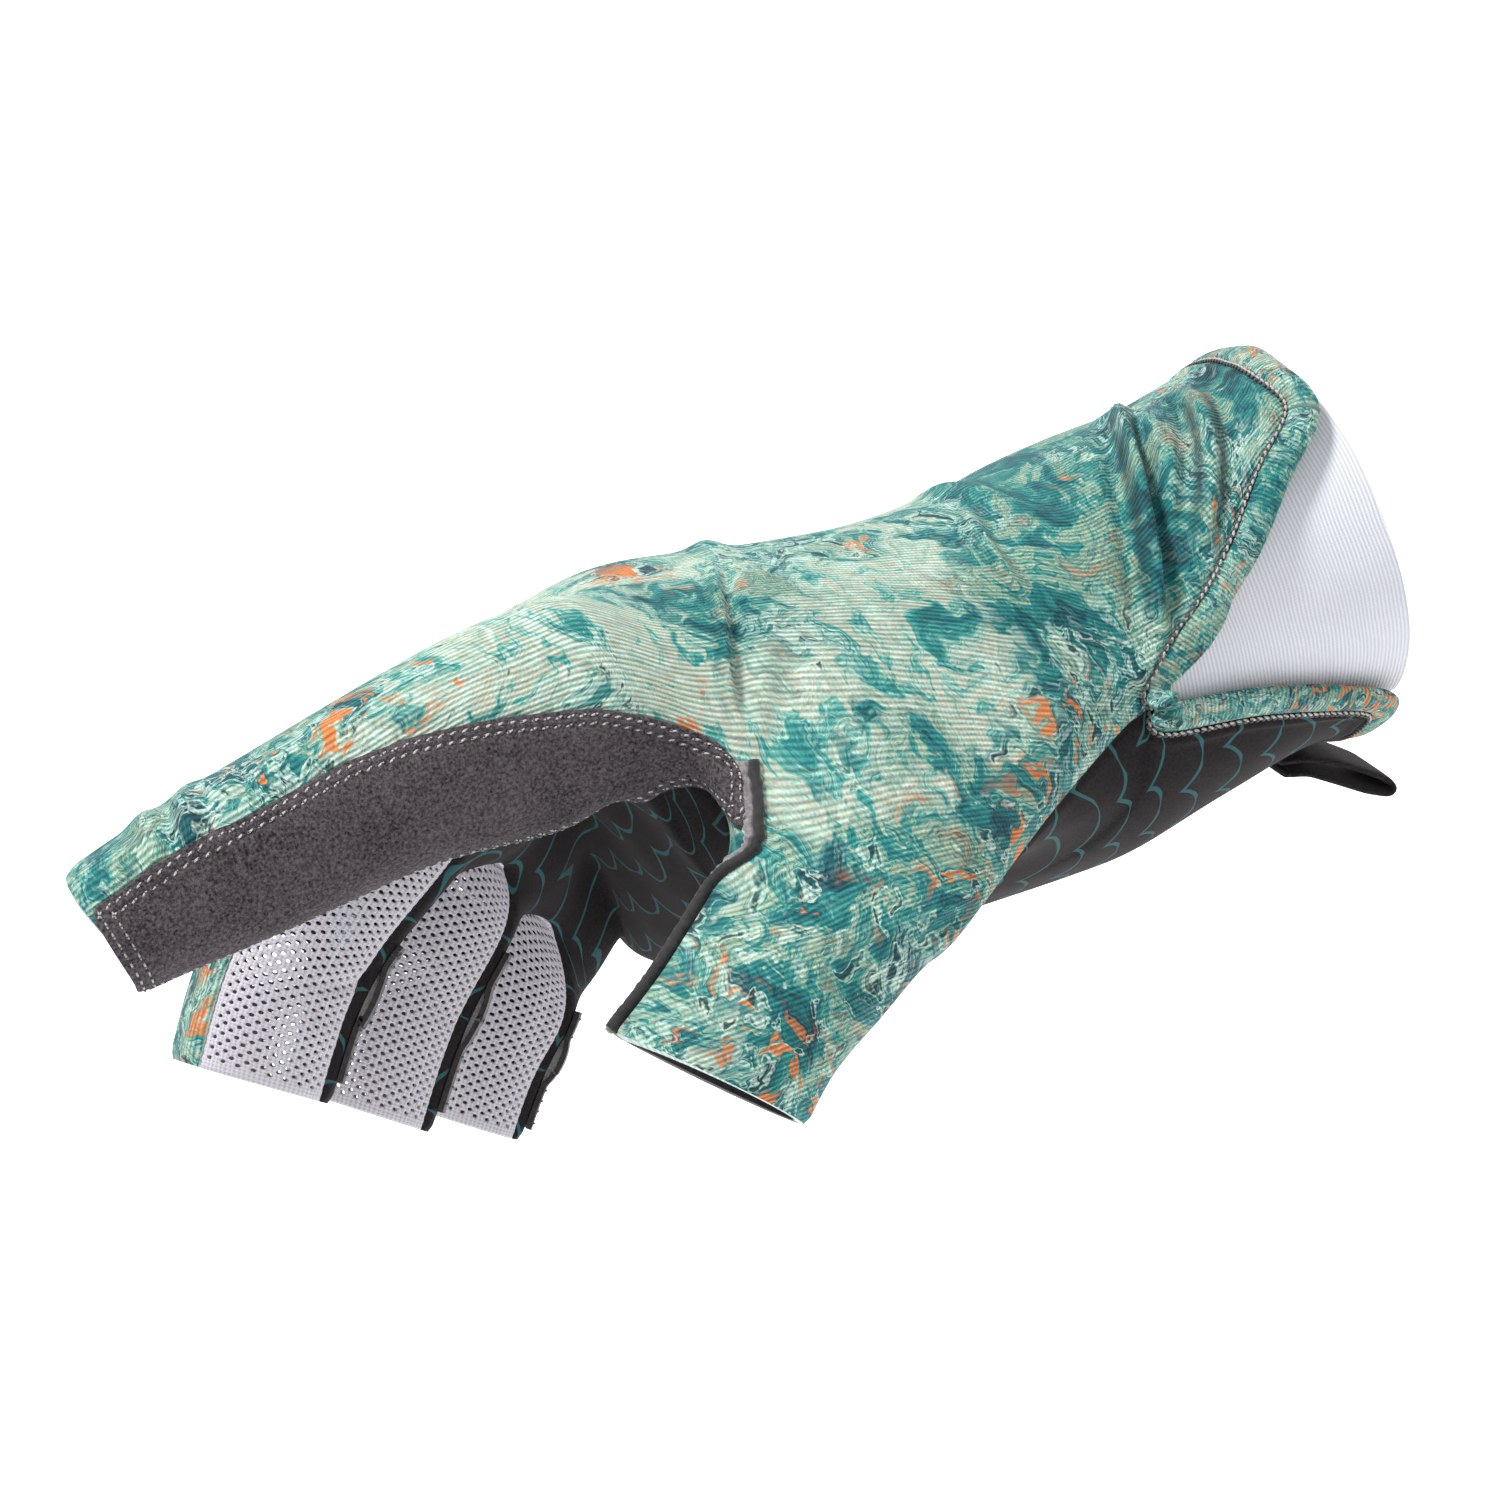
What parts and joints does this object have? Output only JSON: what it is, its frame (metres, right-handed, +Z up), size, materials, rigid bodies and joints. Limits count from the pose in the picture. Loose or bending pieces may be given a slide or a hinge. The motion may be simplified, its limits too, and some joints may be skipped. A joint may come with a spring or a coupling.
{
  "type": "fishing glove",
  "caption": "Fingerless printed fishing glove for the right hand, with a suede palm and index guard, mesh finger sides, finger pulls and a notched cuff with a pull tab.",
  "frame": {"origin": "middle of the wrist opening", "axes": "+X out of the wrist along the forearm, so the fingers point towards -X; +Z up through the back of the hand; the thumb side is towards -Y"},
  "size_m": [0.182, 0.1037, 0.0719],
  "materials": {
    "print_fabric": "printed knit fabric with fine ribs",
    "palm_suede": "dark synthetic suede with fine teal lines",
    "guard_suede": "charcoal synthetic suede with double stitching",
    "mesh_fabric": "white perforated knit",
    "ribbed_fabric": "white fine ribbed stretch knit",
    "piping": "dark piping with a brushed suede edge",
    "ribbon": "dark satin ribbon between stitched ends"
  },
  "bodies": {
    "root": {"back_panel": "print_fabric", "palm_panel": "palm_suede", "fourchette_index_middle": "mesh_fabric", "fourchette_middle_ring": "mesh_fabric", "fourchette_ring_little": "mesh_fabric", "index_guard": "guard_suede", "thumb_welt": "piping", "cuff_binding": "print_fabric", "wrist_gusset": "ribbed_fabric", "finger_pull_middle": "ribbon", "finger_pull_ring": "ribbon", "finger_pull_little": "ribbon", "wrist_pull_tab": "palm_suede"}
  },
  "joints": []
}
